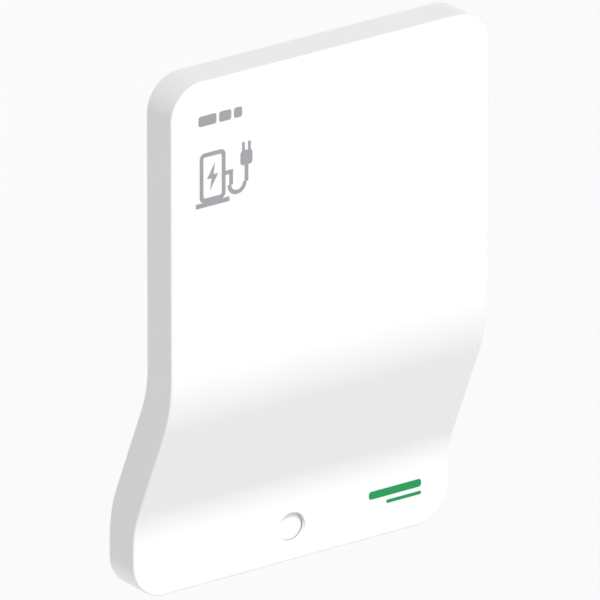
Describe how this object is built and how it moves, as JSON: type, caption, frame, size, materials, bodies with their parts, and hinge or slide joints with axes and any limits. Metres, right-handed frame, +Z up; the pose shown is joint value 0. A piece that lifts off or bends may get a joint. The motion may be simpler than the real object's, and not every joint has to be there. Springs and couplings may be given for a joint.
{
  "type": "wall charger for electric vehicles",
  "caption": "Wall-hung vehicle charger: white wave-shaped hinged front cover over a narrower housing with a side plug socket, push button, rail devices and wall plate.",
  "frame": {"origin": "on the wall, in the wall plate's back face, level with the middle of the front cover", "axes": "+X to the right seen from the front, -Y out of the wall towards the user, +Z up"},
  "size_m": [0.325, 0.1262, 0.4895],
  "materials": {
    "cover_white": "satin white moulding",
    "mark_grey": "printed film",
    "mark_green": "printed film",
    "bright_steel": "zinc plated",
    "coated_steel": "grey powder coat",
    "plate_steel": "galvanised sheet",
    "brass": "plain",
    "contact_brass": "tinned",
    "housing_grey": "fine textured moulding",
    "inner_grey": "fine textured moulding",
    "seal_rubber": "matt",
    "button_white": "satin",
    "collar_grey": "matt",
    "dark_plastic": "matt",
    "device_white": "matt",
    "lever_blue": "satin",
    "test_yellow": "satin",
    "window_glass": "tinted window",
    "board_green": "solder mask",
    "board_posts": "plain",
    "component_black": "matt",
    "terminal_grey": "matt",
    "gland_black": "matt",
    "socket_black": "fine textured moulding",
    "lid_white": "satin",
    "wire_brown": "insulation",
    "wire_grey": "insulation"
  },
  "bodies": {
    "housing": {"hinge_pins": "bright_steel", "hinge_brackets": "coated_steel", "latch_tab": "coated_steel", "rear_housing": "housing_grey", "housing_seal": "seal_rubber", "inner_cover": "inner_grey", "inner_cover_screws": "bright_steel", "wall_plate": "plate_steel", "housing_screws": "bright_steel", "button_collar": "collar_grey", "collar_clip": "bright_steel", "button_spring": "bright_steel", "button_switch": "dark_plastic", "din_rail": "plate_steel", "rail_posts": "dark_plastic", "breaker_body": "device_white", "contactor": "device_white", "energy_meter": "device_white", "meter_window": "window_glass", "control_board": "board_green", "board_posts": "board_posts", "board_components": "component_black", "power_supply": "dark_plastic", "terminal_block": "terminal_grey", "earth_bar": "brass", "gland_body": "gland_black", "gland_locknut": "gland_black", "gland_seal": "seal_rubber", "gland_dome": "gland_black", "blanking_plug": "gland_black", "vent_plug": "gland_black", "socket_flange": "socket_black", "socket_sleeve": "socket_black", "contact_carrier": "socket_black", "socket_contacts": "contact_brass", "socket_seal": "seal_rubber", "socket_screws": "bright_steel", "lid_hinge_pin": "bright_steel", "lid_spring": "bright_steel", "lock_actuator": "dark_plastic", "supply_wires": "wire_brown", "socket_wires": "wire_brown", "button_wires": "wire_grey"},
    "cover": {"front_cover": "cover_white", "cover_sides": "cover_white", "cover_ends": "cover_white", "cover_ribs": "cover_white", "cover_lugs": "cover_white", "cover_icon": "mark_grey", "cover_label_bars": "mark_grey", "corner_badge": "mark_green"},
    "cover_lock_screw": {"cover_screw": "bright_steel"},
    "cover_lock_nut": {"cover_nut": "brass"},
    "lid": {"socket_lid": "lid_white", "lid_seal": "seal_rubber"},
    "plug_lock": {"lock_pin": "bright_steel"},
    "button": {"button_cap": "button_white"},
    "lever": {"breaker_lever": "lever_blue"},
    "test_button": {"breaker_test_button": "test_yellow"}
  },
  "joints": [
    {"name": "cover_hinge", "type": "hinge", "parent": "housing", "child": "cover", "pos_m": [0, -0.085, 0.231], "axis": [-1, 0, 0], "range_deg": [0, 100]},
    {"name": "cover_screw_turn", "type": "hinge", "parent": "cover", "child": "cover_lock_screw", "pos_m": [0, -0.053, -0.24], "axis": [0, 0, 1], "range_deg": [0, 540]},
    {"name": "cover_nut_travel", "type": "slide", "parent": "cover", "child": "cover_lock_nut", "axis": [0, 0, -1], "range_m": [0, 0.0012]},
    {"name": "socket_lid_hinge", "type": "hinge", "parent": "housing", "child": "lid", "pos_m": [0.1061, -0.048, 0.081], "axis": [0, -1, 0], "range_deg": [0, 100], "stiffness_Nm_per_rad": 0.03, "springref_deg": -28.65, "deforming": ["lid_spring"]},
    {"name": "plug_lock_slide", "type": "slide", "parent": "housing", "child": "plug_lock", "axis": [0, 0, -1], "range_m": [0, 0.005]},
    {"name": "button_press", "type": "slide", "parent": "housing", "child": "button", "axis": [0, 1, 0], "range_m": [0, 0.0025], "stiffness_N_per_m": 400, "springref_m": -0.002, "deforming": ["button_spring"]},
    {"name": "breaker_toggle", "type": "hinge", "parent": "housing", "child": "lever", "pos_m": [-0.0662, -0.11, 0.118], "axis": [1, 0, 0], "range_deg": [0, 84]},
    {"name": "test_button_press", "type": "slide", "parent": "housing", "child": "test_button", "axis": [0, 1, 0], "range_m": [0, 0.001], "stiffness_N_per_m": 800, "springref_m": -0.001}
  ],
  "couplings": [
    {"joint": "cover_screw_turn", "follows": "cover_nut_travel", "rad_per_m": 7853}
  ]
}
